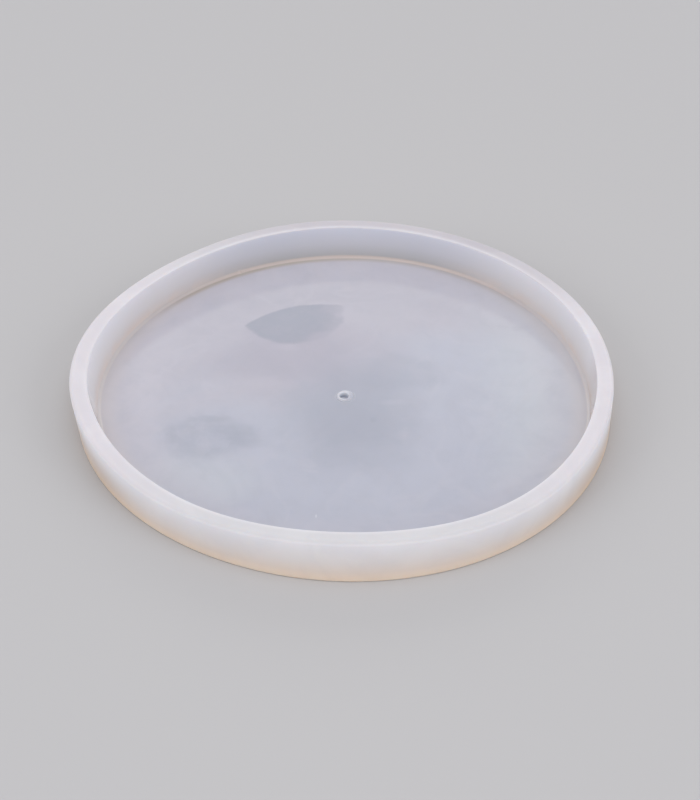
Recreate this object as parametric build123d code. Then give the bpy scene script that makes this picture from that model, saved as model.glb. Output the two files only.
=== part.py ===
from build123d import *
import os

# Round tray mould for casting resin discs: one thick-walled, flat-bottomed casting of translucent
# white silicone, with a small raised ring in the middle of its floor.
# Millimetres, +Z up. The origin is the middle of the flat underside, on the axis of the tray.

# --- Tray: overall sizes ---
OUTSIDE_DIAMETER = 300.0
HEIGHT = 25.0
RIM_WIDTH = 9.2  # top of the wall, from its outer face to the cavity
FLOOR_THICKNESS = 4.0
WALL_TAPER = 2.4  # the wall is this much thicker at the floor, so that the casting lets go

# --- Tray: rounded edges ---
RIM_OUTER_ROUND = 2.4
RIM_INNER_ROUND = 0.7
BASE_EDGE_ROUND = 1.0
FLOOR_CORNER_ROUND = 1.8

# --- Centre ring and the blind hole under it ---
RING_DIAMETER = 9.0
RING_BORE = 5.4
RING_STANDS = 0.8  # height above the tray's floor
RING_SINKS = 1.4  # depth of its seat in the floor
RING_EDGE_ROUND = 0.3
RING_CLEARANCE = 0.05  # radial gap between the ring and its seat
HOLE_DEPTH = 2.6  # below the tray's floor, less than the floor's thickness

# --- Sizes that follow from those ---
OUTSIDE_RADIUS = OUTSIDE_DIAMETER / 2
CAVITY_RIM_RADIUS = OUTSIDE_RADIUS - RIM_WIDTH
CAVITY_FLOOR_RADIUS = CAVITY_RIM_RADIUS - WALL_TAPER
CAVITY_DEPTH = HEIGHT - FLOOR_THICKNESS
RING_BOTTOM = FLOOR_THICKNESS - RING_SINKS
RING_HEIGHT = RING_SINKS + RING_STANDS
HOLE_BOTTOM = FLOOR_THICKNESS - HOLE_DEPTH

ON_ITS_BASE = (Align.CENTER, Align.CENTER, Align.MIN)


def circle_at(part, radius, height):
    """The circular edge of that radius, centred on the axis at that height."""
    circles = part.edges().filter_by(GeomType.CIRCLE)
    return circles.sort_by(lambda e: abs(e.radius - radius) + abs(e.arc_center.Z - height))[0]


def cavity():
    """The space that the resin fills: wider at the rim than at the floor."""
    space = Cone(CAVITY_FLOOR_RADIUS, CAVITY_RIM_RADIUS, CAVITY_DEPTH, align=ON_ITS_BASE)
    return Pos(0, 0, FLOOR_THICKNESS) * space


def ring_seat():
    """The shallow round socket in the floor that the centre ring sits in."""
    seat = Cylinder(RING_DIAMETER / 2 + RING_CLEARANCE, RING_SINKS, align=ON_ITS_BASE)
    return Pos(0, 0, RING_BOTTOM) * seat


def blind_hole():
    """The hole that carries on from the ring's bore and stops inside the floor."""
    hole = Cylinder(RING_BORE / 2, HOLE_DEPTH, align=ON_ITS_BASE)
    return Pos(0, 0, HOLE_BOTTOM) * hole


def mould_tray():
    """Floor, wall and rim, cast in one piece."""
    tray = Cylinder(OUTSIDE_RADIUS, HEIGHT, align=ON_ITS_BASE) - cavity()
    tray = fillet(circle_at(tray, CAVITY_FLOOR_RADIUS, FLOOR_THICKNESS), FLOOR_CORNER_ROUND)
    tray = fillet(circle_at(tray, CAVITY_RIM_RADIUS, HEIGHT), RIM_INNER_ROUND)
    tray = fillet(circle_at(tray, OUTSIDE_RADIUS, HEIGHT), RIM_OUTER_ROUND)
    tray = fillet(circle_at(tray, OUTSIDE_RADIUS, 0), BASE_EDGE_ROUND)
    return tray - ring_seat() - blind_hole()


def centre_ring():
    """The low ring that marks the middle of the casting, standing in its seat."""
    ring = Cylinder(RING_DIAMETER / 2, RING_HEIGHT, align=ON_ITS_BASE)
    ring -= Cylinder(RING_BORE / 2, RING_HEIGHT, align=ON_ITS_BASE)
    top_edges = [
        circle_at(ring, RING_DIAMETER / 2, RING_HEIGHT),
        circle_at(ring, RING_BORE / 2, RING_HEIGHT),
    ]
    return Pos(0, 0, RING_BOTTOM) * fillet(top_edges, RING_EDGE_ROUND)


def write_node(name, part):
    """One STEP file for each node, in the tray's own frame."""
    part.label = name
    export_step(part, os.path.join("parts", name + ".step"))


os.makedirs("parts", exist_ok=True)
write_node("mould_tray", mould_tray())
write_node("centre_ring", centre_ring())
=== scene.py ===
# %% [markdown]
# # A round silicone tray mould
# The real object is a shallow tray of translucent white silicone, about 300 mm across, that clear
# resin is poured into. It is one soft casting: a floor, a thick wall with a flat rim, and a small
# raised ring in the middle of the floor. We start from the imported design, which fixes every size,
# and build two finished pieces around it. First the frame is opened and everything is deselected,
# because an imported model arrives selected and the operators below act on all that is selected.

# %% Open the frame
import math
import bmesh
import bpy
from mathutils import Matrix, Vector, noise


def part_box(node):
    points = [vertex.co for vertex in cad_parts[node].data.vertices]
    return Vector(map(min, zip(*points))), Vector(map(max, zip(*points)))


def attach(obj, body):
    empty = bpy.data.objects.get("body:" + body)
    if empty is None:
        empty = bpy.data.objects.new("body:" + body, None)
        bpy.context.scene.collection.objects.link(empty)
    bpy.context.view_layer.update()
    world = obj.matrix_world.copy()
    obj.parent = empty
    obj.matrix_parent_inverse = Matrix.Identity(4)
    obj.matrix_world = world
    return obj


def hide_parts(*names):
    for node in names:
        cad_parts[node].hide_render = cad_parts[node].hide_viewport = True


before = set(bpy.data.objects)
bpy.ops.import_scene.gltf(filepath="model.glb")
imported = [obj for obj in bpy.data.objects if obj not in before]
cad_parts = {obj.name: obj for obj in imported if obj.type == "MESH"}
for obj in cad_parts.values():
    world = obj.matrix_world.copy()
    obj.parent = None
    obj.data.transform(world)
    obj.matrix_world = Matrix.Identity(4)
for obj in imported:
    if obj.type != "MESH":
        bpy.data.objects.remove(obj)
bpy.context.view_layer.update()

bpy.ops.object.select_all(action="DESELECT")
MM = 0.001

# %% [markdown]
# ## Sizes
# The outside radius, the height and the ring's size are read from the frame, so they can't drift
# from the design. A wall or a floor thickness can't be read from a box, so those few are written
# down here in millimetres, with the same values as the design has.

# %% Sizes of the tray and the ring
tray_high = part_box("mould_tray")[1]
ring_low, ring_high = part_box("centre_ring")
OUTSIDE_RADIUS = tray_high.x
HEIGHT = tray_high.z
RIM_WIDTH = 9.2 * MM
FLOOR_LEVEL = 4.0 * MM
WALL_TAPER = 2.4 * MM
CAVITY_DEPTH = HEIGHT - FLOOR_LEVEL
CAVITY_RIM_RADIUS = OUTSIDE_RADIUS - RIM_WIDTH
CAVITY_FLOOR_RADIUS = CAVITY_RIM_RADIUS - WALL_TAPER
RING_RADIUS = ring_high.x
RING_TOP = ring_high.z
RING_BOTTOM = ring_low.z
RING_BORE_RADIUS = 2.7 * MM
RING_CLEARANCE = 0.05 * MM
HOLE_BOTTOM = 1.4 * MM
BORE_OFF_CENTRE = Vector((-0.75, -0.15, 0)) * MM
print("cavity radius at the rim and at the floor in mm:",
      round(CAVITY_RIM_RADIUS / MM, 2), round(CAVITY_FLOOR_RADIUS / MM, 2))

# %% [markdown]
# ## Helpers for working by hand in code
# In the window you click on a face or a ring of edges. Here the same choice is made by place:
# `pick` selects the faces or edges of the mesh in edit mode that pass a test, and clears the rest.
# Each test reads the element's own middle or its two ends, never an index, because indices change
# with every extrude.

# %% Selecting by place
NEAR = 0.02 * MM


def radius_of(point):
    """How far a point is from the upright axis."""
    return math.hypot(point.x, point.y)


def only(piece):
    """Selects one piece and nothing else."""
    bpy.ops.object.select_all(action="DESELECT")
    piece.select_set(True)
    bpy.context.view_layer.objects.active = piece


def pick(kind, test):
    """In edit mode: selects the faces or edges that pass the test, and says how many."""
    bpy.ops.mesh.select_mode(type="FACE" if kind == "faces" else "EDGE")
    bpy.ops.mesh.select_all(action="DESELECT")
    mesh = bmesh.from_edit_mesh(bpy.context.active_object.data)
    chosen = [e for e in getattr(mesh, kind) if test(e)]
    for element in chosen:
        element.select_set(True)
    bmesh.update_edit_mesh(bpy.context.active_object.data)
    return len(chosen)


def on_circle(radius, level, slack=NEAR):
    """A test for the edges of the circle of that radius at that level."""
    def test(edge):
        return all(abs(radius_of(v.co) - radius) < slack and abs(v.co.z - level) < slack
                   for v in edge.verts)
    return test


def push_down(depth):
    """Extrudes the selected faces straight down."""
    bpy.ops.mesh.extrude_region_move(TRANSFORM_OT_translate={"value": (0, 0, -depth)})


def round_circle(radius, level, size, segments):
    """Rounds off one circular edge of the mesh in edit mode."""
    found = pick("edges", on_circle(radius, level))
    bpy.ops.mesh.bevel(offset=size, segments=segments, profile=0.5, affect="EDGES", clamp_overlap=True)
    return found


# %% [markdown]
# ## The tray: from a cylinder to a cavity
# A round tray could be spun from a profile, or turned from a cylinder. The cylinder keeps every
# step visible: the top face is inset to leave the rim, pushed down to make the cavity, and shrunk
# a little so that the wall is thicker at the floor, which lets a casting come out. The floor is
# then inset again and again, which gives it rings of faces that can carry a gentle unevenness.

# %% Turn the tray
SIDES = 288
FLOOR_RINGS = 14
HOLDING_RING = 2.6 * MM
HOLE_BOTTOM_INSET = RING_BORE_RADIUS * 0.6
LEVEL_FACE = 0.9

bpy.ops.mesh.primitive_cylinder_add(vertices=SIDES, radius=OUTSIDE_RADIUS, depth=HEIGHT,
                                    end_fill_type="NGON", location=(0, 0, HEIGHT / 2))
tray = bpy.context.active_object
tray.name = "silicone_tray"
tray.data.name = "silicone_tray"
bpy.ops.object.transform_apply(location=True, rotation=True, scale=True)
bpy.ops.object.mode_set(mode="EDIT")

pick("faces", lambda f: f.normal.z > LEVEL_FACE)
bpy.ops.mesh.inset(thickness=RIM_WIDTH)
push_down(CAVITY_DEPTH)
shrink = CAVITY_FLOOR_RADIUS / CAVITY_RIM_RADIUS
bpy.ops.transform.resize(value=(shrink, shrink, 1), center_override=(0, 0, FLOOR_LEVEL))

seat_radius = RING_RADIUS + RING_CLEARANCE
bpy.ops.mesh.inset(thickness=HOLDING_RING)
floor_step = (CAVITY_FLOOR_RADIUS - HOLDING_RING - seat_radius) / FLOOR_RINGS
for _ in range(FLOOR_RINGS):
    bpy.ops.mesh.inset(thickness=floor_step)
push_down(FLOOR_LEVEL - RING_BOTTOM)
bpy.ops.mesh.inset(thickness=seat_radius - RING_BORE_RADIUS)
push_down(RING_BOTTOM - HOLE_BOTTOM)
bpy.ops.mesh.inset(thickness=HOLE_BOTTOM_INSET)
print("tray faces after turning:", len(bmesh.from_edit_mesh(tray.data).faces))

# %% [markdown]
# ## The tray: rounded edges
# Silicone never has a knife edge. The rim's outer edge is the softest, the rim's inner edge is
# crisp because it was cast against the top of the master, and the corner of the cavity carries a
# small fillet. Each is a circle of edges, found by its radius and level, and bevelled with several
# segments. The wall then gets a few level cuts, so that it can lean and ripple later.

# %% Round the edges and cut the wall
RIM_OUTER_ROUND = 2.4 * MM
RIM_INNER_ROUND = 0.7 * MM
BASE_EDGE_ROUND = 1.0 * MM
FLOOR_CORNER_ROUND = 1.8 * MM
SEAT_EDGE_ROUND = 0.15 * MM
ROUNDS = (
    # radius, level, size, segments
    (CAVITY_FLOOR_RADIUS, FLOOR_LEVEL, FLOOR_CORNER_ROUND, 6),
    (CAVITY_RIM_RADIUS, HEIGHT, RIM_INNER_ROUND, 4),
    (OUTSIDE_RADIUS, HEIGHT, RIM_OUTER_ROUND, 7),
    (OUTSIDE_RADIUS, 0, BASE_EDGE_ROUND, 5),
    (seat_radius, FLOOR_LEVEL, SEAT_EDGE_ROUND, 2),
)
WALL_CUTS = 5
UNDERSIDE_RINGS = 4
UNDERSIDE_STEP = OUTSIDE_RADIUS * 0.2

for radius, level, size, segments in ROUNDS:
    found = round_circle(radius, level, size, segments)
    print("edges rounded at radius", round(radius / MM, 1), ":", found)

wall_foot = FLOOR_LEVEL + FLOOR_CORNER_ROUND
wall_head = HEIGHT - RIM_OUTER_ROUND
for cut in range(1, WALL_CUTS + 1):
    level = wall_foot + (wall_head - wall_foot) * cut / (WALL_CUTS + 1)
    bpy.ops.mesh.select_all(action="SELECT")
    bpy.ops.mesh.bisect(plane_co=(0, 0, level), plane_no=(0, 0, 1))

pick("faces", lambda f: f.normal.z < -LEVEL_FACE and f.calc_center_median().z < NEAR)
bpy.ops.mesh.inset(thickness=HOLDING_RING)
for _ in range(UNDERSIDE_RINGS):
    bpy.ops.mesh.inset(thickness=UNDERSIDE_STEP)
bpy.ops.mesh.select_all(action="SELECT")
bpy.ops.mesh.normals_make_consistent(inside=False)
bpy.ops.object.mode_set(mode="OBJECT")
print("tray vertices:", len(tray.data.vertices))

# %% [markdown]
# ## The tray: three finishes on one casting
# The cavity was cast against a polished master and is glossy. The rim and the outside have a satin
# skin, and the underside lay on the bench. One mesh can carry several materials, one for each
# face, so the faces are sorted by place now, while the shape is still exactly round.

# %% Sort the faces by finish
SATIN, GLOSS, BENCH = 0, 1, 2


def finish_of(face):
    middle = face.center
    if middle.z < NEAR:
        return BENCH
    in_cavity = radius_of(middle) < CAVITY_RIM_RADIUS + NEAR and middle.z < HEIGHT - RIM_INNER_ROUND
    return GLOSS if in_cavity else SATIN


for face in tray.data.polygons:
    face.material_index = finish_of(face)
finishes = [face.material_index for face in tray.data.polygons]
print("faces with a satin, glossy and bench finish:", [finishes.count(n) for n in (SATIN, GLOSS, BENCH)])

# %% [markdown]
# ## The tray: a soft thing is never quite round
# A tray of silicone slumps and is pulled about by hand, so its rim is a little oval, a little
# three-sided and slightly wavy, while its foot stays nearly true on the table. Proportional
# editing could drag the rim into that shape one pull at a time. A few named waves that run round
# the rim do it evenly, with nothing to undo, so they are used here: each has a number of lobes, a
# height, and the direction of one of its crests, counted anticlockwise from +X. Before a point moves,
# its place on the true round tray is stored with it, so that a colour that follows the corner or
# the rim can still find them afterwards.

# %% Waves round the rim and the foot
RIM_OUT = (
    # lobes, height, direction of a crest in degrees
    (1, 0.5 * MM, -115), (2, 2.5 * MM, -2), (3, 1.9 * MM, -51), (4, 0.75 * MM, 0), (5, 0.8 * MM, 25))
RIM_UP = ((2, 0.4 * MM, -57), (3, 0.6 * MM, 22), (4, 0.3 * MM, -6), (5, 0.55 * MM, -21))
FOOT_OUT = ((2, 1.4 * MM, -17), (3, 1.0 * MM, -57))
FLOOR_SWELL = 0.10 * MM
FLOOR_SWELL_SIZE = 55 * MM
FLOOR_SWELL_STARTS = 30 * MM
WALL_RIPPLE = 0.12 * MM
WALL_RIPPLE_SIZE = 38 * MM
EDGE_GROWTH = 3
HOLE_REACH = RING_BORE_RADIUS * 1.1


def waves(direction, terms):
    """The sum of the waves in that direction."""
    return sum(height * math.cos(lobes * (direction - math.radians(crest)))
               for lobes, height, crest in terms)


def slumped(point):
    """Where a point of the true round tray goes on the soft one."""
    radius = radius_of(point)
    direction = math.atan2(point.y, point.x)
    height_share = point.z / HEIGHT
    out_at_edge = waves(direction, RIM_OUT) * height_share
    out_at_edge += waves(direction, FOOT_OUT) * (1 - height_share)
    edge_share = (radius / OUTSIDE_RADIUS) ** EDGE_GROWTH
    ripple = WALL_RIPPLE * noise.noise(point / WALL_RIPPLE_SIZE) * edge_share
    stretch = 1 + (out_at_edge * edge_share + ripple) / max(radius, MM)
    lift = waves(direction, RIM_UP) * height_share * edge_share
    if abs(point.z - FLOOR_LEVEL) < MM and radius > RING_RADIUS + MM:
        fade = min(1, (radius - RING_RADIUS) / FLOOR_SWELL_STARTS) * (1 - edge_share)
        lift += FLOOR_SWELL * noise.noise(point / FLOOR_SWELL_SIZE) * fade
    return Vector((point.x * stretch, point.y * stretch, point.z + lift))


def in_hole(point):
    """Whether a point is on the blind hole below the ring, and not on the underside."""
    return NEAR < point.z < RING_BOTTOM + NEAR and radius_of(point) < HOLE_REACH


true_place = tray.data.attributes.new("true_place", "FLOAT_VECTOR", "POINT")
for vertex in tray.data.vertices:
    true_place.data[vertex.index].vector = vertex.co
    vertex.co = slumped(vertex.co)
    if in_hole(vertex.co):
        vertex.co += BORE_OFF_CENTRE
rim_points = [v.co for v in tray.data.vertices if v.co.z > HEIGHT * 0.9]
print("soft rim in mm: across", round(2 * max(p.x for p in rim_points) / MM, 1),
      "deep", round(2 * max(p.y for p in rim_points) / MM, 1))

# %% [markdown]
# ## The small flash at the corner
# Where the master had a chipped edge, the silicone ran into the chip and left a tiny raised nib on
# the corner line, at the back left. The faces there are subdivided so that there is enough mesh,
# and the new points are drawn up in a smooth bump. Subdividing leaves the neighbours with many
# corners in a straight line, so those are split into well-shaped triangles.

# %% Raise the nib
NIB_DIRECTION = math.radians(118.5)
NIB_REACH = 2.2 * MM
NIB_HEIGHT = 0.55 * MM
NIB_CUTS = 4
FINE_MESH_REACH = NIB_REACH * 1.6
NEIGHBOUR_REACH = NIB_REACH * 4
nib_outwards = Vector((math.cos(NIB_DIRECTION), math.sin(NIB_DIRECTION), 0))
nib_radius = CAVITY_FLOOR_RADIUS - FLOOR_CORNER_ROUND * 0.8
nib_place = nib_outwards * nib_radius + Vector((0, 0, FLOOR_LEVEL))
nib_leans = Vector((0, 0, 0.9)) - nib_outwards


def from_nib(face):
    return (face.calc_center_median() - nib_place).length


only(tray)
bpy.ops.object.mode_set(mode="EDIT")
near_nib = pick("faces", lambda f: from_nib(f) < FINE_MESH_REACH)
bpy.ops.mesh.subdivide(number_cuts=NIB_CUTS)
many_sided = pick("faces", lambda f: len(f.verts) > 4 and from_nib(f) < NEIGHBOUR_REACH)
bpy.ops.mesh.quads_convert_to_tris(quad_method="BEAUTY", ngon_method="BEAUTY")
bpy.ops.object.mode_set(mode="OBJECT")
for vertex in tray.data.vertices:
    away = (vertex.co - nib_place).length / NIB_REACH
    if away < 1:
        vertex.co += nib_leans * NIB_HEIGHT * (1 - away**2) ** 2
print("faces subdivided for the nib:", near_nib, "and split beside it:", many_sided)

# %% [markdown]
# ## The centre ring
# The ring is a short tube that stands a little proud of the floor. It starts as a cylinder whose
# two ends are inset, and the two inner faces are bridged to open the bore. Its top edges are
# rounded. Where it meets the floor, a few level cuts are widened into a thin skirt, because the
# silicone crept up round it. It is slightly uneven, wider on one side and higher on another, as a
# thing cast round a hand-set pin is.

# %% Make the ring
RING_SIDES = 64
RING_EDGE_ROUND = 0.38 * MM
RING_LEAN = 0.10 * MM
RING_HIGH_SIDE = math.radians(150)
SKIRT_REACH = 0.9 * MM
SKIRT_HEIGHT = 0.45 * MM
SKIRT_CURVE = 2.5
SKIRT_LEVELS = (-0.06 * MM, -0.02 * MM, SKIRT_HEIGHT * 0.2, SKIRT_HEIGHT * 0.5, SKIRT_HEIGHT)
BORE_REACH = RING_BORE_RADIUS * 1.3

bpy.ops.object.select_all(action="DESELECT")
bpy.ops.mesh.primitive_cylinder_add(vertices=RING_SIDES, radius=RING_RADIUS, depth=RING_TOP - RING_BOTTOM,
                                    end_fill_type="NGON", location=(0, 0, (RING_TOP + RING_BOTTOM) / 2))
ring = bpy.context.active_object
ring.name = "marker_ring"
ring.data.name = "marker_ring"
bpy.ops.object.transform_apply(location=True, rotation=True, scale=True)
bpy.ops.object.mode_set(mode="EDIT")
pick("faces", lambda f: abs(f.normal.z) > LEVEL_FACE)
bpy.ops.mesh.inset(thickness=RING_RADIUS - RING_BORE_RADIUS)
bpy.ops.mesh.bridge_edge_loops()
for radius in (RING_RADIUS, RING_BORE_RADIUS):
    round_circle(radius, RING_TOP, RING_EDGE_ROUND, 4)
for level in SKIRT_LEVELS:
    bpy.ops.mesh.select_all(action="SELECT")
    bpy.ops.mesh.bisect(plane_co=(0, 0, FLOOR_LEVEL + level), plane_no=(0, 0, 1))
bpy.ops.mesh.select_all(action="SELECT")
bpy.ops.mesh.normals_make_consistent(inside=False)
bpy.ops.object.mode_set(mode="OBJECT")
for vertex in ring.data.vertices:
    radius = radius_of(vertex.co)
    above = (vertex.co.z - FLOOR_LEVEL) / SKIRT_HEIGHT
    if radius > RING_RADIUS - NEAR and -0.1 < above < 1:
        flare = 1 + SKIRT_REACH * (1 - max(above, 0)) ** SKIRT_CURVE / radius
        vertex.co.x *= flare
        vertex.co.y *= flare
    if radius < BORE_REACH:
        vertex.co += BORE_OFF_CENTRE
    if above > 1 - NEAR:
        side = math.cos(math.atan2(vertex.co.y, vertex.co.x) - RING_HIGH_SIDE)
        vertex.co.z += RING_LEAN * side
print("ring vertices:", len(ring.data.vertices))

# %% [markdown]
# ## Smooth shading
# Both pieces are shaded smooth where faces meet at a small angle, and the face-weighted normals
# keep the wide flat faces flat next to the narrow rounds.

# %% Shade and weight the normals
SMOOTH_BELOW = math.radians(40)

for piece in (tray, ring):
    only(piece)
    bpy.ops.object.shade_smooth_by_angle(angle=SMOOTH_BELOW)
    weigh = piece.modifiers.new("even_normals", "WEIGHTED_NORMAL")
    weigh.keep_sharp = True
    bpy.ops.object.modifier_apply(modifier=weigh.name)
    print(piece.name, "faces:", len(piece.data.polygons))

# %% [markdown]
# ## Effects that several finishes share
# White silicone is never one flat colour. It has faint clouds from the way it was poured, patches
# where it holds more or less air, a fine grain in its satin skin, and dust, which it draws like a
# magnet. Each effect is a shader node group with named inputs, built once and used by every
# material with values of its own. A group gives only a mask or a height: the shader stays in the
# material.

# %% Small helpers for node trees
def add_node(tree, kind, **settings):
    """A node with its own properties and, by socket name, its unlinked input values."""
    node = tree.nodes.new(kind)
    for name, value in settings.items():
        if hasattr(node, name):
            setattr(node, name, value)
        else:
            node.inputs[name.replace("_", " ").title()].default_value = value
    return node


def maths(tree, operation, first, second=None):
    """A Math node on two sockets or numbers, giving its output socket."""
    node = tree.nodes.new("ShaderNodeMath")
    node.operation = operation
    for place, value in enumerate((first, second)):
        if value is None:
            continue
        if isinstance(value, bpy.types.NodeSocket):
            tree.links.new(value, node.inputs[place])
        else:
            node.inputs[place].default_value = value
    return node.outputs[0]


def spread(tree, value, low, high, to_low=0.0, to_high=1.0, smooth=True):
    """A Map Range node: low..high becomes to_low..to_high, held at both ends."""
    node = tree.nodes.new("ShaderNodeMapRange")
    node.interpolation_type = "SMOOTHSTEP" if smooth else "LINEAR"
    tree.links.new(value, node.inputs["Value"])
    for name, number in (("From Min", low), ("From Max", high), ("To Min", to_low), ("To Max", to_high)):
        if isinstance(number, bpy.types.NodeSocket):
            tree.links.new(number, node.inputs[name])
        else:
            node.inputs[name].default_value = number
    return node.outputs["Result"]


def blend_colours(tree, share, first, second, how="MIX"):
    """Mixes two colours, each a socket or a colour, by a share."""
    node = tree.nodes.new("ShaderNodeMix")
    node.data_type = "RGBA"
    node.blend_type = how
    for place, value in ((0, share), (6, first), (7, second)):
        if isinstance(value, bpy.types.NodeSocket):
            tree.links.new(value, node.inputs[place])
        elif place == 0:
            node.inputs[0].default_value = value
        else:
            node.inputs[place].default_value = (*value, 1.0)
    return node.outputs[2]


def tint(tree, base, colour, mask, share, how="MIX"):
    """Lays a colour over the base where the mask says so, by no more than the share."""
    return blend_colours(tree, maths(tree, "MULTIPLY", mask, share), base, colour, how)


def new_group(name, inputs, outputs):
    """An empty shader node group with named sockets, and its two end nodes."""
    group = bpy.data.node_groups.new(name, "ShaderNodeTree")
    for socket, kind, value in inputs:
        made = group.interface.new_socket(socket, in_out="INPUT", socket_type=kind)
        if value is not None:
            made.default_value = value
    for socket in outputs:
        group.interface.new_socket(socket, in_out="OUTPUT", socket_type="NodeSocketFloat")
    return group, group.nodes.new("NodeGroupInput"), group.nodes.new("NodeGroupOutput")


def use_group(tree, group, vector, **values):
    """Places a group on a vector, with values of its own, giving its output socket."""
    node = tree.nodes.new("ShaderNodeGroup")
    node.node_tree = group
    tree.links.new(vector, node.inputs["Vector"])
    for name, value in values.items():
        node.inputs[name.replace("_", " ").capitalize()].default_value = value
    return node.outputs[0]


VECTOR = ("Vector", "NodeSocketVector", None)

# %% [markdown]
# The cloud is a warped noise, stretched between a low and a high value so that it gives broad calm
# areas with wispy borders. The stain is one soft-edged oval with a ragged outline, for a patch
# that is clearer than the rest. The veins follow the line where a noise crosses its middle value,
# which draws the thin curling streaks that stirring leaves.

# %% Cloud, stain and vein groups
cloud, ends_in, ends_out = new_group(
    "poured cloud",
    (VECTOR, ("Patches", "NodeSocketFloat", 12.0), ("Low", "NodeSocketFloat", 0.35),
     ("High", "NodeSocketFloat", 0.65), ("Swirl", "NodeSocketFloat", 1.4)),
    ("Cloud",))
warp = add_node(cloud, "ShaderNodeTexNoise", noise_dimensions="3D")
warp.inputs["Detail"].default_value = 5.0
warp.inputs["Roughness"].default_value = 0.62
cloud.links.new(ends_in.outputs["Swirl"], warp.inputs["Distortion"])
cloud.links.new(ends_in.outputs["Vector"], warp.inputs["Vector"])
cloud.links.new(ends_in.outputs["Patches"], warp.inputs["Scale"])
cloud.links.new(spread(cloud, warp.outputs["Fac"], ends_in.outputs["Low"], ends_in.outputs["High"]),
                ends_out.inputs["Cloud"])

stain, ends_in, ends_out = new_group(
    "clear patch",
    (VECTOR, ("Middle", "NodeSocketVector", (0, 0, 0)), ("Reach", "NodeSocketVector", (0.03, 0.02, 1)),
     ("Edge", "NodeSocketFloat", 0.15), ("Ragged", "NodeSocketFloat", 0.3),
     ("Frills", "NodeSocketFloat", 55.0)),
    ("Patch",))
from_middle = add_node(stain, "ShaderNodeVectorMath", operation="SUBTRACT")
stain.links.new(ends_in.outputs["Vector"], from_middle.inputs[0])
stain.links.new(ends_in.outputs["Middle"], from_middle.inputs[1])
in_reaches = add_node(stain, "ShaderNodeVectorMath", operation="DIVIDE")
stain.links.new(from_middle.outputs[0], in_reaches.inputs[0])
stain.links.new(ends_in.outputs["Reach"], in_reaches.inputs[1])
how_far = add_node(stain, "ShaderNodeVectorMath", operation="LENGTH")
stain.links.new(in_reaches.outputs[0], how_far.inputs[0])
outline = add_node(stain, "ShaderNodeTexNoise")
outline.inputs["Detail"].default_value = 4.0
stain.links.new(ends_in.outputs["Frills"], outline.inputs["Scale"])
stain.links.new(ends_in.outputs["Vector"], outline.inputs["Vector"])
wander = maths(stain, "SUBTRACT", outline.outputs["Fac"], 0.5)
shift = maths(stain, "MULTIPLY", wander, ends_in.outputs["Ragged"])
distance = maths(stain, "ADD", how_far.outputs["Value"], shift)
inside = maths(stain, "SUBTRACT", 1.0, ends_in.outputs["Edge"])
outside = maths(stain, "ADD", 1.0, ends_in.outputs["Edge"])
covered = spread(stain, distance, inside, outside, 1.0, 0.0)
stain.links.new(covered, ends_out.inputs["Patch"])

veins, ends_in, ends_out = new_group(
    "stirred veins",
    (VECTOR, ("Patches", "NodeSocketFloat", 24.0), ("Width", "NodeSocketFloat", 0.05)),
    ("Veins",))
stirred = add_node(veins, "ShaderNodeTexNoise")
stirred.inputs["Detail"].default_value = 3.0
stirred.inputs["Roughness"].default_value = 0.45
stirred.inputs["Distortion"].default_value = 0.8
veins.links.new(ends_in.outputs["Vector"], stirred.inputs["Vector"])
veins.links.new(ends_in.outputs["Patches"], stirred.inputs["Scale"])
from_edge = maths(veins, "ABSOLUTE", maths(veins, "SUBTRACT", stirred.outputs["Fac"], 0.5))
veins.links.new(spread(veins, from_edge, 0.0, ends_in.outputs["Width"], 1.0, 0.0), ends_out.inputs["Veins"])
print("groups:", cloud.name, ",", stain.name, ",", veins.name)

# %% [markdown]
# The grain is two sizes of fine noise added together. The dust is a cell pattern: each cell may hold
# one round speck near its middle, and most cells are left empty by comparing the cell's own random
# value with a share.

# %% Grain and dust groups
BROAD_GRAIN_SIZE = 0.22
BROAD_GRAIN_HEIGHT = 1.6

grain, ends_in, ends_out = new_group(
    "satin grain", (VECTOR, ("Grains", "NodeSocketFloat", 900.0)), ("Height",))
fine = add_node(grain, "ShaderNodeTexNoise")
fine.inputs["Detail"].default_value = 2.0
broad = add_node(grain, "ShaderNodeTexNoise")
broad.inputs["Detail"].default_value = 1.0
grain.links.new(ends_in.outputs["Vector"], fine.inputs["Vector"])
grain.links.new(ends_in.outputs["Vector"], broad.inputs["Vector"])
grain.links.new(ends_in.outputs["Grains"], fine.inputs["Scale"])
grain.links.new(maths(grain, "MULTIPLY", ends_in.outputs["Grains"], BROAD_GRAIN_SIZE), broad.inputs["Scale"])
swell = maths(grain, "MULTIPLY", broad.outputs["Fac"], BROAD_GRAIN_HEIGHT)
grain.links.new(maths(grain, "ADD", fine.outputs["Fac"], swell), ends_out.inputs["Height"])

dust, ends_in, ends_out = new_group(
    "dust",
    (VECTOR, ("Cells", "NodeSocketFloat", 160.0), ("Speck", "NodeSocketFloat", 0.07),
     ("Share", "NodeSocketFloat", 0.06)),
    ("Dust",))
cells = add_node(dust, "ShaderNodeTexVoronoi", feature="F1")
dust.links.new(ends_in.outputs["Vector"], cells.inputs["Vector"])
dust.links.new(ends_in.outputs["Cells"], cells.inputs["Scale"])
small = maths(dust, "LESS_THAN", cells.outputs["Distance"], ends_in.outputs["Speck"])
random_value = add_node(dust, "ShaderNodeSeparateColor")
dust.links.new(cells.outputs["Color"], random_value.inputs[0])
chosen = maths(dust, "LESS_THAN", random_value.outputs[0], ends_in.outputs["Share"])
dust.links.new(maths(dust, "MULTIPLY", small, chosen), ends_out.inputs["Dust"])
print("groups:", grain.name, ",", dust.name)

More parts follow.
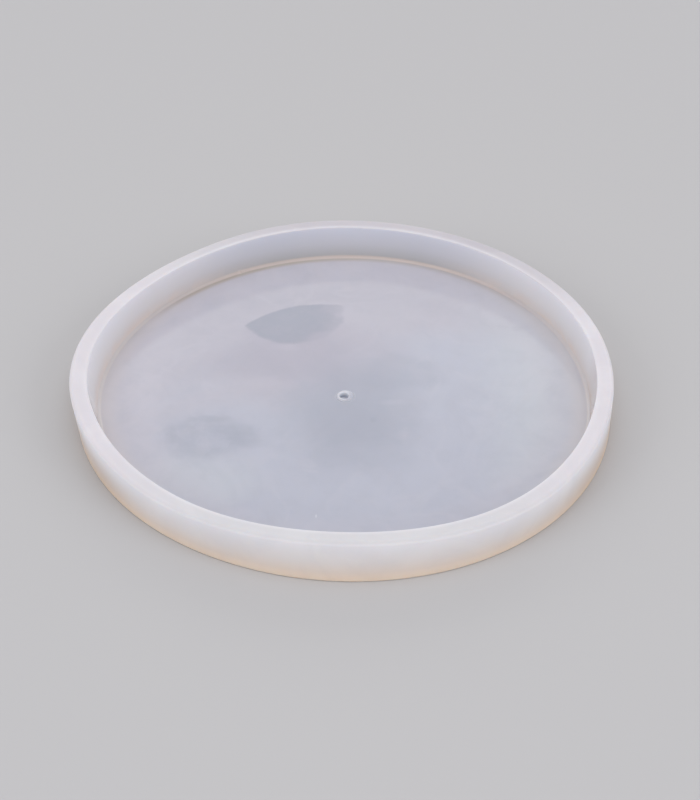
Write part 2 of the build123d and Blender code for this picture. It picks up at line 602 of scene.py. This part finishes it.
# %% [markdown]
# ## Colours of translucent silicone
# Milky silicone scatters blue light back and lets red light through. Where it is thick and lit from
# above it looks white with a touch of lilac. Where the light has had to travel a long way through
# it, low down in the wall and in the corner of the floor, it turns warm, like peach skin. The thin
# floor shows a cooler and darker grey. Those colours are written as everyday screen values, and
# turned into the linear values that a shader works with.

# %% The palette
def screen(red, green, blue):
    """A screen colour, 0 to 255, as a linear one."""
    def linear(value):
        share = value / 255
        return share / 12.92 if share <= 0.04045 else ((share + 0.055) / 1.055) ** 2.4
    return tuple(linear(v) for v in (red, green, blue))


# Painted light and shade among these colours: the rim's sides, front, back and inner edge, the wall's warm
# foot and darker lower sides, the inner wall's ends, sides, foot, glow and far-right shade, the corner's
# warm line, dark line and pale sides, the halo, the hole and bore tones, and the ring's skirt.
RIM_SIDES = screen(224, 220, 225)
RIM_ENDS = screen(217, 216, 219)
RIM_BACK = screen(202, 198, 204)
RIM_INNER_EDGE_HIGHLIGHT = screen(238, 237, 243)
WALL_TOP = screen(239, 238, 242)
WALL_MIDDLE = screen(232, 226, 224)
WALL_LOW = screen(231, 218, 208)
WALL_FOOT = screen(241, 219, 198)
LOWER_SIDES_PAINTED_SHADE = (0.90, 0.86, 0.82)
FAR_RIGHT_SHADE = (0.90, 0.86, 0.84)
INNER_TOP_ENDS = screen(215, 217, 228)
INNER_MIDDLE_ENDS = screen(205, 205, 212)
INNER_FOOT_ENDS = screen(187, 186, 188)
INNER_TOP_SIDES = screen(234, 233, 239)
INNER_MIDDLE_SIDES = screen(226, 223, 225)
INNER_FOOT_SIDES = screen(218, 213, 213)
WALL_GLOW = screen(224, 211, 205)
CORNER_PAINTED_HIGHLIGHT = screen(206, 193, 188)
CORNER_SIDES_PAINTED_LIGHT = screen(210, 203, 203)
CORNER_SHADE = screen(186, 177, 168)
FLOOR_LILAC = screen(191, 189, 199)
FLOOR_COOL = screen(189, 191, 203)
FLOOR_PALE = screen(206, 203, 212)
FLOOR_CLEAR = screen(164, 167, 180)
FLOOR_DUSK = screen(166, 162, 177)
FLOOR_GREENISH = screen(199, 202, 209)
DUST_WHITE = screen(240, 240, 242)
UNDERSIDE_LIGHT = screen(212, 210, 218)
UNDERSIDE_DEEP = screen(198, 198, 208)
RING_WHITE = screen(213, 214, 223)
RING_MILKY = screen(204, 204, 211)
RING_CLEAR = screen(185, 186, 197)
RING_SKIRT_PAINTED_LIGHT = screen(224, 225, 233)
RING_HALO_PAINTED_LIGHT = screen(204, 205, 214)
BORE_PAINTED_LIGHT = screen(214, 216, 224)
HOLE_BASE_PAINTED_LIGHT = screen(214, 216, 225)
print("rim colour, linear:", [round(v, 3) for v in RIM_SIDES])


def ramp(tree, value, *stops):
    """A colour ramp with (position, colour) stops, as an output socket."""
    node = tree.nodes.new("ShaderNodeValToRGB")
    tree.links.new(value, node.inputs["Fac"])
    marks = node.color_ramp.elements
    while len(marks) < len(stops):
        marks.new(0.5)
    for mark, (position, colour) in zip(marks, stops):
        mark.position = position
        mark.color = (*colour, 1.0)
    return node.outputs["Color"]


# %% [markdown]
# ## The silicone itself
# Every finish is the same stuff, so one function starts each material: light goes in and scatters
# for a few millimetres before it comes out, red a little further than blue, which softens edges
# and shadows. Only the colour, the gloss and the fine relief differ from finish to finish, and
# they are linked in afterwards.

# %% Start a silicone material
SILICONE_IOR = 1.41
SCATTER_REACH = 3.5 * MM
SCATTER_BY_COLOUR = (1.0, 0.82, 0.68)


def level_and_height(tree, place):
    """Splits a place into its level part, as a vector, and its x, y and z."""
    split = tree.nodes.new("ShaderNodeSeparateXYZ")
    tree.links.new(place, split.inputs[0])
    flat = tree.nodes.new("ShaderNodeCombineXYZ")
    tree.links.new(split.outputs["X"], flat.inputs["X"])
    tree.links.new(split.outputs["Y"], flat.inputs["Y"])
    return flat.outputs[0], split.outputs["X"], split.outputs["Y"], split.outputs["Z"]


def start_silicone(name, scatter_share, slumps=True):
    """A material with its shader and the useful places on the piece."""
    material = bpy.data.materials.new(name)
    material.use_nodes = True
    tree = material.node_tree
    shader = tree.nodes["Principled BSDF"]
    shader.inputs["IOR"].default_value = SILICONE_IOR
    shader.inputs["Subsurface Weight"].default_value = scatter_share
    shader.inputs["Subsurface Scale"].default_value = SCATTER_REACH
    shader.inputs["Subsurface Radius"].default_value = SCATTER_BY_COLOUR
    position = tree.nodes.new("ShaderNodeTexCoord").outputs["Object"]
    flat, x, y, height = level_and_height(tree, position)
    places = {"position": position, "flat": flat, "x": x, "y": y, "height": height}
    if slumps:
        true_place = tree.nodes.new("ShaderNodeAttribute")
        true_place.attribute_name = "true_place"
        flat, x, y, places["height"] = level_and_height(tree, true_place.outputs["Vector"])
    reach = tree.nodes.new("ShaderNodeVectorMath")
    reach.operation = "LENGTH"
    tree.links.new(flat, reach.inputs[0])
    places["radius"] = reach.outputs["Value"]
    to_side = maths(tree, "DIVIDE", x, OUTSIDE_RADIUS)
    places["sideness"] = maths(tree, "MULTIPLY", to_side, to_side)
    return material, tree, shader, places


def relief(tree, shader, height, depth):
    """Fine relief: a height in shares of depth, in metres."""
    bump = tree.nodes.new("ShaderNodeBump")
    bump.inputs["Strength"].default_value = 1.0
    bump.inputs["Distance"].default_value = depth
    tree.links.new(height, bump.inputs["Height"])
    tree.links.new(bump.outputs["Normal"], shader.inputs["Normal"])


# %% [markdown]
# ## Satin finish: the rim and the outside
# Going up the outside, the colour runs from a warm foot to a cool white top, a painted glow where
# light has come through the most silicone, and low at the sides a painted shade darkens it. The rim
# is the whitest part. Painted light makes it a touch brighter at the two sides and duller at the
# back, and a painted highlight makes it paler along its inner edge.
# A range here is a start and an end, and where it has four numbers the last two are the results.

# %% Satin silicone
WALL_STOPS = ((0.02, WALL_FOOT), (0.24, WALL_LOW), (0.48, WALL_MIDDLE), (0.85, WALL_TOP))
LOWER_WALL = (0.35, 0.9, 1.0, 0.0)
WALL_SIDES = (0.45, 0.8)
RIM_SIDES_FROM = (0.1, 0.8)
RIM_BACK_FROM = (64 * MM, 140 * MM)
RIM_BACK_TURN = 0.2
INNER_EDGE = (CAVITY_RIM_RADIUS, CAVITY_RIM_RADIUS + 3.4 * MM, 1.0, 0.0)
INNER_EDGE_SHARE = (0.3, 0.8, 0.42, 0.15)
RIM_FROM = (HEIGHT - 2.2 * MM, HEIGHT - 0.4 * MM)
CLOUD_SHADE = (0.62, 0.60, 0.66)
SATIN_ROUGHNESS = (0.42, 0.50)
SATIN_GRAIN_DEPTH = 0.012 * MM


def satin_silicone():
    """The rim and the outside of the wall."""
    material, tree, shader, at = start_silicone("satin_silicone", 0.55)
    up = maths(tree, "DIVIDE", at["height"], HEIGHT)
    # Painted glow: the warm foot stands for light that has come through the silicone.
    wall = ramp(tree, up, *WALL_STOPS)
    lower_wall = spread(tree, up, *LOWER_WALL)
    lower_sides = maths(tree, "MULTIPLY", spread(tree, at["sideness"], *WALL_SIDES), lower_wall)
    # Painted shade: the outside darker and warmer low down at the two sides.
    wall = blend_colours(tree, lower_sides, wall, LOWER_SIDES_PAINTED_SHADE, "MULTIPLY")
    # Painted light and shade: the rim brighter at the two sides, plainer at the front, duller at the back.
    rim = blend_colours(tree, spread(tree, at["sideness"], *RIM_SIDES_FROM), RIM_ENDS, RIM_SIDES)
    to_back = maths(tree, "ADD", at["y"], maths(tree, "MULTIPLY", at["x"], RIM_BACK_TURN))
    rim = blend_colours(tree, spread(tree, to_back, *RIM_BACK_FROM), rim, RIM_BACK)
    # Painted highlight: a paler band along the rim's inner edge.
    inner_edge = spread(tree, at["radius"], *INNER_EDGE)
    edge_share = spread(tree, at["sideness"], *INNER_EDGE_SHARE)
    rim = blend_colours(tree, maths(tree, "MULTIPLY", inner_edge, edge_share), rim, RIM_INNER_EDGE_HIGHLIGHT)
    colour = blend_colours(tree, spread(tree, at["height"], *RIM_FROM), wall, rim)
    clouds = use_group(tree, cloud, at["position"], Patches=16.0, Low=0.4, High=0.62)
    colour = tint(tree, colour, CLOUD_SHADE, clouds, share=0.10, how="MULTIPLY")
    specks = use_group(tree, dust, at["position"], Cells=210.0, Speck=0.045, Share=0.05)
    colour = tint(tree, colour, DUST_WHITE, specks, share=0.5)
    tree.links.new(colour, shader.inputs["Base Color"])
    fine = use_group(tree, grain, at["position"], Grains=1500.0)
    rough = spread(tree, clouds, 0.0, 1.0, *SATIN_ROUGHNESS)
    rough = maths(tree, "ADD", rough, maths(tree, "MULTIPLY", fine, 0.03))
    tree.links.new(rough, shader.inputs["Roughness"])
    relief(tree, shader, fine, SATIN_GRAIN_DEPTH)
    return material


satin = satin_silicone()
print("finish:", satin.name, "with", len(satin.node_tree.nodes), "nodes")

# %% [markdown]
# ## Glossy finish: the floor of the cavity
# The floor is a cool lilac grey with faint clouds. Where the thin floor is clearer it looks darker,
# in a few patches with soft, ragged borders. Each patch is an oval with a name, and its sizes are
# in millimetres. The crispest one is a leaf: the place that two large discs share.

# %% Patches in the floor
CLEAR_PATCHES = (
    # name, middle x and y, reach x and y, edge, raggedness, frills, share
    ("mottle_back", -63, -30, 9, 6, 0.5, 1.0, 90, 0.27),
    ("mottle_middle", -57, -37, 8, 6, 0.5, 1.0, 90, 0.26),
    ("mottle_front", -52, -42, 7, 4, 0.5, 1.2, 110, 0.22),
    ("mottle_streak", -76, -20, 10, 3, 0.6, 1.2, 160, 0.32),
    ("mottle_left", -98, -33, 3, 9, 0.6, 1.2, 120, 0.16),
    ("mottle_foot", -86, -51, 10, 4, 0.6, 1.4, 120, 0.16),
    ("middle_cloud", 5, -18, 37, 44, 0.50, 1.0, 26, 0.44),
    ("middle_core", 1, -19, 21, 21, 0.65, 0.9, 40, 0.30),
    ("back_wedge", 31, 22, 25, 15, 0.40, 1.3, 42, 0.28),
    ("small_fleck", 15.7, -21.2, 1.7, 2.2, 0.5, 0.8, 300, 0.30),
)
PALE_PATCHES = (
    ("wisp_beside_the_ring", 26, -5.2, 7, 2.0, 0.9, 1.4, 150, 0.17),
    ("wisp_in_front", 33, -34, 3.0, 4.5, 0.8, 1.4, 220, 0.20),
    ("wisp_below_the_leaf", -35, 46, 8, 2.6, 0.8, 1.8, 170, 0.16),
    ("wisp_at_the_left", -45, 12, 12, 5, 0.8, 1.8, 90, 0.16),
)
# The other masks have the same numbers, without a name and a share.
FRONT_LEFT_PATCH = (-86, -74, 34, 22, 0.7, 0.8, 30)
FRONT_RIGHT_DISC = (-5, 58.5, 165, 165, 0.015, 0.13, 34)
DUSK_PATCH = (-26, 36, 44, 30, 0.6, 1.2, 34)
MOTTLE_PATCH = (-75.5, -35.5, 25, 17, 0.35, 1.0, 60)
HAIR_PATCH = (-15.5, -101.9, 0.45, 1.3, 0.4, 0.3, 300)
LEAF_BACK_DISC = (-14.4, 30.5, 57.5, 57.5, 0.016, 0.06, 60)
LEAF_FRONT_DISC = (-31.0, 79.8, 30, 30, 0.06, 0.24, 60)
LEAF_BITE = (-9, 48, 17, 14, 0.35, 0.6, 60)
LEAF_EXTENT = (-46, 70, 40, 70, 0.28, 0.7, 60)
print("patches in the floor:", [name for name, *_ in CLEAR_PATCHES + PALE_PATCHES])


def patch_at(tree, vector, x, y, reach_x, reach_y, edge, ragged, frills):
    """The mask of one patch, its middle and reach in millimetres."""
    return use_group(tree, stain, vector, Middle=(x * MM, y * MM, 0), Reach=(reach_x * MM, reach_y * MM, 1),
                     Edge=edge, Ragged=ragged, Frills=frills)


def lay_patches(tree, at, floor, colour, patches):
    """Tints the floor with every patch of a list."""
    for _, *shape, share in patches:
        floor = tint(tree, floor, colour, patch_at(tree, at["flat"], *shape), share)
    return floor


def leaf_patch(tree, at):
    """Where two large discs overlap: a leaf with a sharp left tip, which fades out to the right."""
    leaf = maths(tree, "MULTIPLY", patch_at(tree, at["flat"], *LEAF_BACK_DISC),
                 patch_at(tree, at["flat"], *LEAF_FRONT_DISC))
    bite = spread(tree, patch_at(tree, at["flat"], *LEAF_BITE), 0, 1, 1.0, 0.25)
    leaf = maths(tree, "MULTIPLY", leaf, bite)
    leaf = maths(tree, "MULTIPLY", leaf, patch_at(tree, at["flat"], *LEAF_EXTENT))
    dapples = use_group(tree, cloud, at["flat"], Patches=90.0, Low=0.35, High=0.62, Swirl=0.2)
    return maths(tree, "MULTIPLY", leaf, spread(tree, dapples, 0, 1, 0.86, 1))


# %% [markdown]
# The floor's colour is laid down in layers, broad ones first. The base goes from lilac to a cooler
# grey, the outer parts are paler or greener, the pale ring near the wall being painted light, a
# crescent along the front-right wall is darkened by painted shade, and then come the streaks, the
# patches and the leaf.

# %% The floor's colour, layer by layer
FRONT_FROM = (-35 * MM, 25 * MM)
FRONT_WANDERS = 50 * MM
RIGHT_FROM = (60 * MM, 118 * MM)
LEFT_FROM = (-120 * MM, -85 * MM, 1.0, 0.0)
OUTER_FROM = (100 * MM, 124 * MM)
CRESCENT_FROM = (28 * MM, 66 * MM)
STREAK_SHARE = (0.04, 0.20)
FEATHER_SHARE = (0.18, 0.34)


def floor_base(tree, at, broad):
    """Lilac at the back and left, cooler at the front and right; painted light and shade near the wall."""
    half_across = maths(tree, "MULTIPLY", at["x"], 0.5)
    to_front = maths(tree, "SUBTRACT", half_across, at["y"])
    to_front = maths(tree, "ADD", to_front, maths(tree, "MULTIPLY", broad, FRONT_WANDERS))
    floor = blend_colours(tree, spread(tree, to_front, *FRONT_FROM), FLOOR_LILAC, FLOOR_COOL)
    floor = tint(tree, floor, FLOOR_GREENISH, spread(tree, at["x"], *RIGHT_FROM), share=0.9)
    floor = tint(tree, floor, FLOOR_GREENISH, patch_at(tree, at["flat"], *FRONT_LEFT_PATCH), share=0.6)
    floor = tint(tree, floor, FLOOR_PALE, spread(tree, at["x"], *LEFT_FROM), share=0.45)
    # Painted light: paler round the outside of the floor, near the wall.
    floor = tint(tree, floor, FLOOR_PALE, spread(tree, at["radius"], *OUTER_FROM), share=0.42)
    # Painted shade: a darker crescent along the front-right wall.
    outside_disc = maths(tree, "SUBTRACT", 1.0, patch_at(tree, at["flat"], *FRONT_RIGHT_DISC))
    crescent = maths(tree, "MULTIPLY", outside_disc, spread(tree, at["x"], *CRESCENT_FROM))
    return tint(tree, floor, FLOOR_CLEAR, crescent, share=0.08)


def floor_colour(tree, at, wisps):
    """The whole floor: the base, then wisps, streaks, patches, mottle, leaf and one short hair."""
    broad = use_group(tree, cloud, at["flat"], Patches=6.0, Low=0.3, High=0.7)
    floor = tint(tree, floor_base(tree, at, broad), FLOOR_CLEAR, wisps, share=0.10)
    streaks = use_group(tree, veins, at["flat"], Patches=26.0, Width=0.07)
    streaks = maths(tree, "MULTIPLY", streaks, spread(tree, broad, 0, 1, *STREAK_SHARE))
    floor = blend_colours(tree, streaks, floor, FLOOR_PALE)
    fine = use_group(tree, cloud, at["flat"], Patches=70.0, Low=0.45, High=0.68, Swirl=0.2)
    floor = tint(tree, floor, FLOOR_CLEAR, fine, share=0.09)
    floor = tint(tree, floor, FLOOR_DUSK, patch_at(tree, at["flat"], *DUSK_PATCH), share=0.38)
    floor = lay_patches(tree, at, floor, FLOOR_CLEAR, CLEAR_PATCHES)
    feathers = use_group(tree, cloud, at["flat"], Patches=85.0, Low=0.38, High=0.62, Swirl=0.3)
    feather_share = spread(tree, feathers, 0, 1, *FEATHER_SHARE)
    mottle = maths(tree, "MULTIPLY", patch_at(tree, at["flat"], *MOTTLE_PATCH), feather_share)
    floor = blend_colours(tree, mottle, floor, FLOOR_CLEAR)
    floor = lay_patches(tree, at, floor, FLOOR_PALE, PALE_PATCHES)
    leaf = leaf_patch(tree, at)
    floor = tint(tree, floor, FLOOR_CLEAR, leaf, share=0.84)
    leaf_edge = maths(tree, "MULTIPLY", leaf, maths(tree, "SUBTRACT", 1.0, leaf))
    floor = tint(tree, floor, FLOOR_DUSK, leaf_edge, share=0.7)
    return tint(tree, floor, DUST_WHITE, patch_at(tree, at["flat"], *HAIR_PATCH), share=0.32)


# %% [markdown]
# ## Glossy finish: the inside of the wall
# The inside of the wall runs from a bluish top down to a duller foot in painted shade. Painted light
# makes it lighter at the two sides, where a blotchy warm glow, also painted, sits low down, and a
# painted shade darkens the far right.

# %% The inside of the wall
WALL_ENDS_STOPS = ((0.06, INNER_FOOT_ENDS), (0.45, INNER_MIDDLE_ENDS), (0.95, INNER_TOP_ENDS))
WALL_SIDES_STOPS = ((0.10, INNER_FOOT_SIDES), (0.5, INNER_MIDDLE_SIDES), (0.95, INNER_TOP_SIDES))
GLOW_FROM = (0.03, 0.45, 1.0, 0.0)
FAR_RIGHT_FROM = (132 * MM, 139 * MM)
FAR_RIGHT_UNTIL = (-5 * MM, 22 * MM, 1.0, 0.0)


def inner_wall_colour(tree, at):
    """From a bluish top to a duller foot in painted shade, with painted light and a painted glow at the
    sides.
    """
    up = maths(tree, "DIVIDE", maths(tree, "SUBTRACT", at["height"], FLOOR_LEVEL), CAVITY_DEPTH)
    sideness = spread(tree, at["sideness"], 0.04, 0.55)
    # Painted light and shade: lighter at the two sides, duller at the ends and the foot.
    wall = blend_colours(tree, sideness, ramp(tree, up, *WALL_ENDS_STOPS), ramp(tree, up, *WALL_SIDES_STOPS))
    blotches = use_group(tree, cloud, at["position"], Patches=30.0, Low=0.38, High=0.62)
    glow = maths(tree, "MULTIPLY", spread(tree, up, *GLOW_FROM), spread(tree, blotches, 0, 1, 0.35, 1))
    # Painted glow: warm light come through the silicone, low down at the sides.
    wall = tint(tree, wall, WALL_GLOW, maths(tree, "MULTIPLY", glow, sideness), share=0.9)
    far_right = maths(tree, "MULTIPLY", spread(tree, at["x"], *FAR_RIGHT_FROM),
                      spread(tree, at["y"], *FAR_RIGHT_UNTIL))
    return blend_colours(tree, far_right, wall, FAR_RIGHT_SHADE, "MULTIPLY")


# %% [markdown]
# ## Glossy finish: the corner of the cavity
# Where the floor turns up into the wall, a thin warm line runs all round: a painted highlight on the
# fillet, warm from light come through the silicone. At the back a darker line of painted shade lies
# just inside it, and at the sides painted light makes the floor paler towards it.

# %% The corner's lines
CORNER_START = CAVITY_FLOOR_RADIUS - FLOOR_CORNER_ROUND
CORNER_LINE = (CORNER_START - 0.1 * MM, CORNER_START + 0.5 * MM)
DARK_LINE = (CORNER_START - 4.2 * MM, CORNER_START - 0.3 * MM)
DARK_LINE_ENDS = (0.35, 0.62, 0.9, 0.08)
DARK_LINE_TO_RIGHT = (-50 * MM, 70 * MM, 1.0, 0.45)
NEAR_CORNER = (124 * MM, 134 * MM)
NEAR_CORNER_SHARE = (0.12, 0.4)


def corner_colour(tree, at, floor):
    """Adds the corner's painted light and shade: paler outwards, a painted dark line, then the warm
    highlight.
    """
    # Painted light: the floor and the corner line paler towards the corner at the sides.
    to_side = spread(tree, at["sideness"], 0.15, 0.7)
    lift_share = spread(tree, to_side, 0, 1, *NEAR_CORNER_SHARE)
    lift = maths(tree, "MULTIPLY", spread(tree, at["radius"], *NEAR_CORNER), lift_share)
    floor = blend_colours(tree, lift, floor, CORNER_SIDES_PAINTED_LIGHT)
    # Painted shade: a darker line just inside the corner at the back.
    dark = maths(tree, "MULTIPLY", spread(tree, at["radius"], *DARK_LINE),
                 spread(tree, at["sideness"], *DARK_LINE_ENDS))
    dark = maths(tree, "MULTIPLY", dark, spread(tree, at["x"], *DARK_LINE_TO_RIGHT))
    floor = blend_colours(tree, dark, floor, CORNER_SHADE)
    # Painted highlight: the warm line on the corner's fillet.
    line_colour = blend_colours(tree, to_side, CORNER_PAINTED_HIGHLIGHT, CORNER_SIDES_PAINTED_LIGHT)
    return blend_colours(tree, spread(tree, at["radius"], *CORNER_LINE), floor, line_colour)


# %% [markdown]
# ## Glossy finish: the whole cavity
# The floor, the corner and the wall are put together in one material, with a pale halo of painted
# light round the ring, against the shadow at its foot, and a lighter tone down in the hole, painted
# light against its shade. The gloss is high, with a very slight unevenness that makes reflections
# swim.

# %% Glossy silicone
HALO_WIDTH = (RING_RADIUS + 0.8 * MM, RING_RADIUS + 2.0 * MM, 1.0, 0.0)
DOWN_HOLE = (RING_BOTTOM - 0.8 * MM, RING_BOTTOM, 1.0, 0.0)
WALL_FROM = (FLOOR_LEVEL + 0.8 * MM, FLOOR_LEVEL + 1.9 * MM)
GLOSS_ROUGHNESS = (0.13, 0.19)
GLOSS_UNEVENNESS = 0.02 * MM


def glossy_silicone():
    """The whole cavity: floor, corner, the place round the ring, the hole and the inner wall."""
    material, tree, shader, at = start_silicone("glossy_silicone", 0.45)
    wisps = use_group(tree, cloud, at["flat"], Patches=24.0, Low=0.45, High=0.70)
    floor = corner_colour(tree, at, floor_colour(tree, at, wisps))
    # Painted light: a pale halo round the ring, against the shadow at its foot.
    floor = tint(tree, floor, RING_HALO_PAINTED_LIGHT, spread(tree, at["radius"], *HALO_WIDTH), share=0.3)
    # Painted light: a lighter tone down in the hole, against its shade.
    floor = blend_colours(tree, spread(tree, at["height"], *DOWN_HOLE), floor, HOLE_BASE_PAINTED_LIGHT)
    on_wall = spread(tree, at["height"], *WALL_FROM)
    colour = blend_colours(tree, on_wall, floor, inner_wall_colour(tree, at))
    specks = use_group(tree, dust, at["position"], Cells=120.0, Speck=0.04, Share=0.035)
    colour = tint(tree, colour, DUST_WHITE, specks, share=0.4)
    tree.links.new(colour, shader.inputs["Base Color"])
    rough = spread(tree, wisps, 0.0, 1.0, *GLOSS_ROUGHNESS)
    rough = maths(tree, "ADD", rough, maths(tree, "MULTIPLY", specks, 0.4))
    tree.links.new(rough, shader.inputs["Roughness"])
    uneven = use_group(tree, cloud, at["flat"], Patches=34.0, Low=0.2, High=0.8)
    relief(tree, shader, uneven, GLOSS_UNEVENNESS)
    return material


glossy = glossy_silicone()
print("finish:", glossy.name, "with", len(glossy.node_tree.nodes), "nodes")

# %% [markdown]
# ## Bench finish: the underside
# The underside is a plain milky skin that took the faint texture of the bench it was poured on,
# with the same painted warm glow along its edge as the wall's foot has.

# %% Bench silicone
WARM_EDGE = (OUTSIDE_RADIUS - 11 * MM, OUTSIDE_RADIUS - 1 * MM)
BENCH_ROUGHNESS = (0.38, 0.5)
BENCH_GRAIN_DEPTH = 0.02 * MM


def bench_silicone():
    """The underside."""
    material, tree, shader, at = start_silicone("bench_silicone", 0.5)
    clouds = use_group(tree, cloud, at["flat"], Patches=11.0, Low=0.35, High=0.65, Swirl=0.5)
    colour = blend_colours(tree, clouds, UNDERSIDE_LIGHT, UNDERSIDE_DEEP)
    # Painted glow: the warm edge, like the wall's foot.
    colour = blend_colours(tree, spread(tree, at["radius"], *WARM_EDGE), colour, WALL_FOOT)
    tree.links.new(colour, shader.inputs["Base Color"])
    fine = use_group(tree, grain, at["position"], Grains=700.0)
    tree.links.new(spread(tree, clouds, 0.0, 1.0, *BENCH_ROUGHNESS), shader.inputs["Roughness"])
    relief(tree, shader, fine, BENCH_GRAIN_DEPTH)
    return material


bench = bench_silicone()
print("finish:", bench.name, "with", len(bench.node_tree.nodes), "nodes")

# %% [markdown]
# ## The ring's own finish
# The ring holds more air than the floor, so it is whiter. Its thin skirt is whiter still in painted
# light, against the shadow where it meets the floor. It turns a little greyer towards the front
# right, and painted light lifts the inside of its bore against the bore's shade.

# %% Ring silicone
CLEARER_FROM = (-1.5 * MM, 3.5 * MM)
CLEARER_TURN = 0.45
SKIRT_UNTIL = (FLOOR_LEVEL, FLOOR_LEVEL + 0.55 * MM, 1.0, 0.0)
BORE_PATCH = (BORE_OFF_CENTRE.x / MM, BORE_OFF_CENTRE.y / MM, 2.85, 2.85, 0.03, 0.0, 55)
RING_ROUGHNESS = (0.28, 0.4)
RING_GRAIN_DEPTH = 0.01 * MM


def ring_silicone():
    """Denser and whiter than the floor, greyer to the front right, painted light on skirt and in bore."""
    material, tree, shader, at = start_silicone("ring_silicone", 0.5, slumps=False)
    clouds = use_group(tree, cloud, at["position"], Patches=180.0, Low=0.35, High=0.7)
    white = blend_colours(tree, clouds, RING_WHITE, RING_MILKY)
    across = maths(tree, "SUBTRACT", at["x"], maths(tree, "MULTIPLY", at["y"], CLEARER_TURN))
    white = blend_colours(tree, spread(tree, across, *CLEARER_FROM), white, RING_CLEAR)
    # Painted light: the skirt whiter, against the shadow where it meets the floor.
    colour = blend_colours(tree, spread(tree, at["height"], *SKIRT_UNTIL), white, RING_SKIRT_PAINTED_LIGHT)
    # Painted light: the inside of the bore lighter, against its shade.
    colour = blend_colours(tree, patch_at(tree, at["flat"], *BORE_PATCH), colour, BORE_PAINTED_LIGHT)
    tree.links.new(colour, shader.inputs["Base Color"])
    fine = use_group(tree, grain, at["position"], Grains=2200.0)
    tree.links.new(spread(tree, clouds, 0.0, 1.0, *RING_ROUGHNESS), shader.inputs["Roughness"])
    relief(tree, shader, fine, RING_GRAIN_DEPTH)
    return material


ring_finish = ring_silicone()
print("finish:", ring_finish.name, "with", len(ring_finish.node_tree.nodes), "nodes")

# %% [markdown]
# ## Give each face its finish
# The tray takes its three materials in the order that its faces were sorted by, and the ring one.

# %% Materials onto the pieces
for finish in (satin, glossy, bench):
    tray.data.materials.append(finish)
ring.data.materials.append(ring_finish)
print("materials:", [m.name for m in (*tray.data.materials, *ring.data.materials)])

# %% [markdown]
# ## Tie the pieces to the design
# Each finished piece rides on the design's only body and stands for one node of the design, which is
# then hidden.

# %% Ride and replace
for piece, node, slot in ((tray, "mould_tray", "silicone_tray"), (ring, "centre_ring", "silicone_ring")):
    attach(piece, "root")
    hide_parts(node)
    print(piece.name, "stands for", node)

# %% [markdown]
# ## A plain studio
# The tray lies on a large pale floor. A wide soft light hangs over it, an upright soft panel far
# behind gives the glossy floor something pale to mirror, and a soft light at each side fills in the
# wall. The studio's floor isn't part of the object.

# %% Studio floor
STUDIO_SIZE = 60
STUDIO_GREY = screen(193, 192, 193)

bpy.ops.object.select_all(action="DESELECT")
bpy.ops.mesh.primitive_plane_add(size=STUDIO_SIZE, location=(0, 0, 0))
studio_floor = bpy.context.active_object
studio_floor.name = "studio_floor"
paint = bpy.data.materials.new("pale_floor")
paint.use_nodes = True
paint_shader = paint.node_tree.nodes["Principled BSDF"]
paint_shader.inputs["Base Color"].default_value = (*STUDIO_GREY, 1)
paint_shader.inputs["Roughness"].default_value = 0.85
studio_floor.data.materials.append(paint)
print("staged:", studio_floor.name)

# %% Lights
MIDDLE = (0, 0, HEIGHT / 2)
LIGHTS = (
    # name, place, aim, width, height, watts
    ("overhead", (0, -0.4, 3.0), MIDDLE, 2.8, 2.4, 16.8),
    ("back_panel", (0, 3.8, 1.9), (0, 0, 0.6), 6.0, 2.0, 36),
    ("fill_left", (-3.0, -1.8, 2.0), MIDDLE, 2.4, 2.4, 36),
    ("fill_right", (3.0, -1.8, 2.0), MIDDLE, 2.4, 2.4, 36),
)
SKY_COLOUR = (0.97, 0.97, 1.0, 1)
SKY_STRENGTH = 0.62


def soft_light(name, place, aim, width, height, watts):
    """A rectangular light at a place, turned to face another place."""
    data = bpy.data.lights.new(name, "AREA")
    data.shape = "RECTANGLE"
    data.size = width
    data.size_y = height
    data.energy = watts
    light = bpy.data.objects.new(name, data)
    bpy.context.scene.collection.objects.link(light)
    light.location = place
    light.rotation_mode = "QUATERNION"
    light.rotation_quaternion = (Vector(aim) - Vector(place)).to_track_quat("-Z", "Y")
    light.visible_camera = False


for settings in LIGHTS:
    soft_light(*settings)
world = bpy.data.worlds.new("studio")
bpy.context.scene.world = world
world.use_nodes = True
world.node_tree.nodes["Background"].inputs["Color"].default_value = SKY_COLOUR
world.node_tree.nodes["Background"].inputs["Strength"].default_value = SKY_STRENGTH
bpy.context.scene.view_settings.view_transform = "Standard"
print("lights:", [settings[0] for settings in LIGHTS])

# %% [markdown]
# ## The camera
# A long lens from about four tray widths away looks down at just under forty degrees, so the round
# tray is seen as a wide oval and both the inside of the back wall and the outside of the front
# wall show.

# %% Camera
LOOK_DOWN = math.radians(38.95)
CAMERA_DISTANCE = 1.2475
LENS = 98.3
SENSOR_WIDTH = 36
RIGHT_SHIFT = 2.6 * MM
UP_SHIFT = 1.05 * MM
camera_data = bpy.data.cameras.new("camera")
camera_data.lens = LENS
camera_data.sensor_width = SENSOR_WIDTH
camera = bpy.data.objects.new("camera", camera_data)
bpy.context.scene.collection.objects.link(camera)
backwards = Vector((0, -math.cos(LOOK_DOWN), math.sin(LOOK_DOWN)))
upwards = Vector((0, math.sin(LOOK_DOWN), math.cos(LOOK_DOWN)))
camera.location = backwards * CAMERA_DISTANCE + upwards * UP_SHIFT + Vector((RIGHT_SHIFT, 0, 0))
camera.rotation_euler = (math.radians(90) - LOOK_DOWN, 0, 0)
bpy.context.scene.camera = camera
print("camera at:", [round(v, 3) for v in camera.location])
